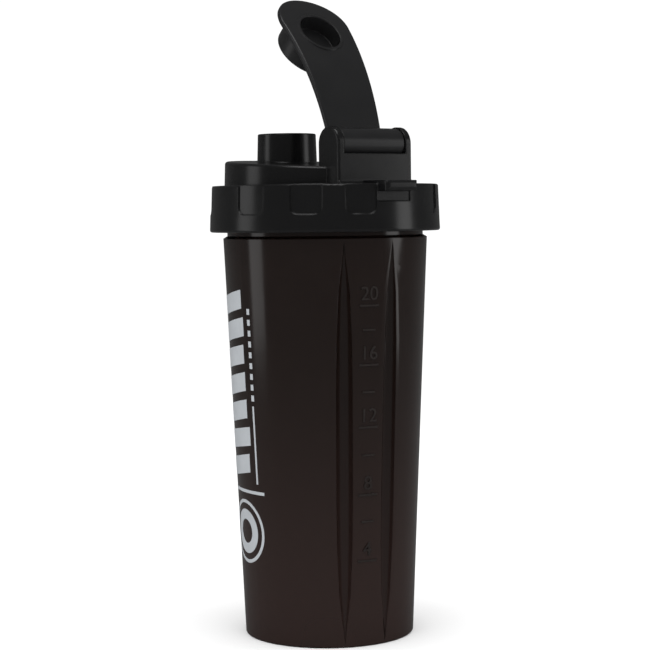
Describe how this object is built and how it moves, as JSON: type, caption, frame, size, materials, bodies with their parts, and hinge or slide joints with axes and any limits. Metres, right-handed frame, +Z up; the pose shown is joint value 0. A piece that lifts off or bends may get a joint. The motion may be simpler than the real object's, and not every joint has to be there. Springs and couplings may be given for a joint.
{
  "type": "protein shaker bottle",
  "caption": "Tapered shaker bottle with fluted graduated cup, screw lid with side spout, and a hinged flip cap standing open.",
  "frame": {"origin": "on the cup's axis at the plane of its foot", "axes": "+Z up along the cup's axis, spout towards -Y, cap hinge towards +Y"},
  "size_m": [0.0958, 0.1004, 0.2649],
  "materials": {
    "cup_plastic": "smoke-black translucent, glossy",
    "lid_plastic": "gloss black",
    "cap_plastic": "satin-gloss black",
    "seal_silicone": "soft matt silicone",
    "grid_plastic": "fine satin"
  },
  "bodies": {
    "cup": {"cup": "cup_plastic"},
    "gasket": {"lid_gasket": "seal_silicone"},
    "lid": {"lid": "lid_plastic", "mixing_grid": "grid_plastic"},
    "cap": {"flip_cap": "cap_plastic", "cap_seal": "seal_silicone"}
  },
  "joints": [
    {"name": "lid_lift", "type": "slide", "parent": "cup", "child": "gasket", "axis": [0, 0, 1], "range_m": [0, 0.016]},
    {"name": "lid_turn", "type": "hinge", "parent": "gasket", "child": "lid", "pos_m": [0, 0, 0.18], "axis": [0, 0, 1], "range_deg": [0, 1290]},
    {"name": "cap_hinge", "type": "hinge", "parent": "lid", "child": "cap", "pos_m": [0, 0.0282, 0.2031], "axis": [-1, 0, 0], "range_deg": [-48.7, 120]}
  ],
  "couplings": [
    {"joint": "lid_turn", "follows": "lid_lift", "rad_per_m": 1396.3}
  ]
}
